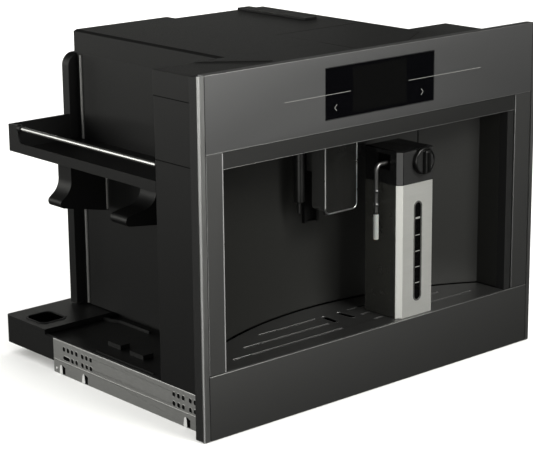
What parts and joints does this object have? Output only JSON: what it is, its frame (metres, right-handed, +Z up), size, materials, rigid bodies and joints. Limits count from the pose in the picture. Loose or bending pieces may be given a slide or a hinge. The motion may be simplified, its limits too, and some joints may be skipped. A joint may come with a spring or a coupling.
{
  "type": "built-in coffee machine",
  "caption": "Built-in bean-to-cup coffee machine on telescopic rails, with a cup niche, swinging service door, sliding spout, milk carafe and drip tray.",
  "frame": {"origin": "on the cabinet floor under the middle of the overall length and depth", "axes": "+X to the right seen from the front, +Y towards the back of the cabinet, +Z up"},
  "size_m": [0.597, 0.47, 0.455],
  "materials": {
    "moulded_black": "moulded",
    "textured_black": "fine texture",
    "housing_plastic": "moulded",
    "body_sheet": "powder coat",
    "liner_plastic": "satin",
    "gloss_black": "polished",
    "soft_black": "matt",
    "soft_grey": "matt",
    "galvanised_steel": "galvanised",
    "trim_steel": "brushed",
    "panel_steel": "brushed",
    "surround_steel": "satin lacquer",
    "cover_steel": "satin lacquer",
    "carafe_steel": "brushed",
    "knob_steel": "spun",
    "bright_bar": "polished",
    "chrome": "polished",
    "cast_aluminium": "cast",
    "display_glass": "polished",
    "light_diffuser": "frosted",
    "circuit_board": "lacquered",
    "clear_smoke": "translucent moulding",
    "window_clear": "clear moulding",
    "tube_clear": "tube"
  },
  "bodies": {
    "cabinet_base": {"base_tray": "moulded_black", "left_cabinet_rail": "galvanised_steel", "right_cabinet_rail": "galvanised_steel"},
    "left_rail_member": {"left_rail_member": "galvanised_steel"},
    "right_rail_member": {"right_rail_member": "galvanised_steel"},
    "machine": {"left_machine_rail": "galvanised_steel", "right_machine_rail": "galvanised_steel", "front_frame": "textured_black", "left_side_trim": "trim_steel", "right_side_trim": "trim_steel", "niche_surround": "surround_steel", "control_panel": "panel_steel", "display_glass": "display_glass", "display_module": "moulded_black", "control_board": "circuit_board", "niche_liner": "liner_plastic", "light_strip": "light_diffuser", "niche_housing": "housing_plastic", "panel_housing": "housing_plastic", "housing_cap": "housing_plastic", "top_cover": "housing_plastic", "bean_hopper": "clear_smoke", "grinder": "moulded_black", "brew_unit": "moulded_black", "boiler": "cast_aluminium", "pump": "cast_aluminium", "power_board": "circuit_board", "body_floor": "body_sheet", "left_body_wall": "body_sheet", "right_body_wall": "body_sheet", "rear_cover": "housing_plastic", "side_shelf": "housing_plastic", "shelf_rod": "bright_bar", "cable_hooks": "housing_plastic", "tank_shelf": "housing_plastic", "mains_inlet": "moulded_black"},
    "service_door": {"service_door": "liner_plastic", "spout_guide": "moulded_black", "steam_nozzle": "soft_black", "hot_water_outlet": "chrome"},
    "coffee_spout": {"spout_body": "moulded_black", "spout_frame": "chrome", "spout_front_plate": "gloss_black"},
    "milk_carafe": {"carafe_body": "clear_smoke", "carafe_steel_front": "carafe_steel", "carafe_window": "window_clear"},
    "carafe_lid": {"carafe_lid": "gloss_black", "intake_pipe": "tube_clear"},
    "froth_knob": {"froth_knob": "knob_steel"},
    "milk_tube": {"milk_tube": "chrome"},
    "milk_tip": {"milk_tip": "soft_grey"},
    "drip_tray": {"lower_panel": "surround_steel", "drip_basin": "moulded_black", "tray_tongue": "moulded_black", "tray_cover": "cover_steel", "grounds_container": "moulded_black"},
    "bean_lid": {"bean_lid": "housing_plastic"},
    "water_tank": {"water_tank": "clear_smoke"},
    "main_switch": {"main_switch": "gloss_black"},
    "brew_piston": {"brew_piston": "moulded_black"}
  },
  "joints": [
    {"name": "machine_slide", "type": "slide", "parent": "cabinet_base", "child": "machine", "axis": [0, -1, 0], "range_m": [0, 0.33]},
    {"name": "left_member_slide", "type": "slide", "parent": "cabinet_base", "child": "left_rail_member", "axis": [0, -1, 0], "range_m": [0, 0.165]},
    {"name": "right_member_slide", "type": "slide", "parent": "cabinet_base", "child": "right_rail_member", "axis": [0, -1, 0], "range_m": [0, 0.165]},
    {"name": "door_hinge", "type": "hinge", "parent": "machine", "child": "service_door", "pos_m": [-0.2525, -0.16414, 0.2105], "axis": [0, 0, -1], "range_deg": [0, 90]},
    {"name": "spout_slide", "type": "slide", "parent": "service_door", "child": "coffee_spout", "axis": [0, 0, 1], "range_m": [-0.07, 0]},
    {"name": "carafe_slide", "type": "slide", "parent": "service_door", "child": "milk_carafe", "axis": [0, -1, 0], "range_m": [0, 0.09]},
    {"name": "lid_lift", "type": "slide", "parent": "milk_carafe", "child": "carafe_lid", "axis": [0, 0, 1], "range_m": [0, 0.02]},
    {"name": "knob_turn", "type": "hinge", "parent": "carafe_lid", "child": "froth_knob", "pos_m": [0.0805, -0.222, 0.295], "axis": [0, -1, 0], "range_deg": [-90, 90]},
    {"name": "tube_swing", "type": "hinge", "parent": "carafe_lid", "child": "milk_tube", "pos_m": [0.04, -0.197, 0.294], "axis": [-1, 0, 0], "range_deg": [0, 60]},
    {"name": "tip_slide", "type": "slide", "parent": "milk_tube", "child": "milk_tip", "axis": [0, 0, -1], "range_m": [0, 0.022]},
    {"name": "drip_tray_slide", "type": "slide", "parent": "machine", "child": "drip_tray", "axis": [0, -1, 0], "range_m": [0, 0.13]},
    {"name": "bean_lid_hinge", "type": "hinge", "parent": "machine", "child": "bean_lid", "pos_m": [0.0765, -0.029, 0.4456], "axis": [-1, 0, 0], "range_deg": [0, 80]},
    {"name": "tank_slide", "type": "slide", "parent": "machine", "child": "water_tank", "axis": [1, 0, 0], "range_m": [0, 0.11]},
    {"name": "main_switch_rock", "type": "hinge", "parent": "machine", "child": "main_switch", "pos_m": [-0.106, 0.217, 0.092], "axis": [1, 0, 0], "range_deg": [0, 12]},
    {"name": "brew_piston_slide", "type": "slide", "parent": "machine", "child": "brew_piston", "axis": [0, 0, -1], "range_m": [0, 0.04]}
  ],
  "couplings": [
    {"joint": "left_member_slide", "follows": "machine_slide", "ratio": 0.5},
    {"joint": "right_member_slide", "follows": "machine_slide", "ratio": 0.5}
  ]
}
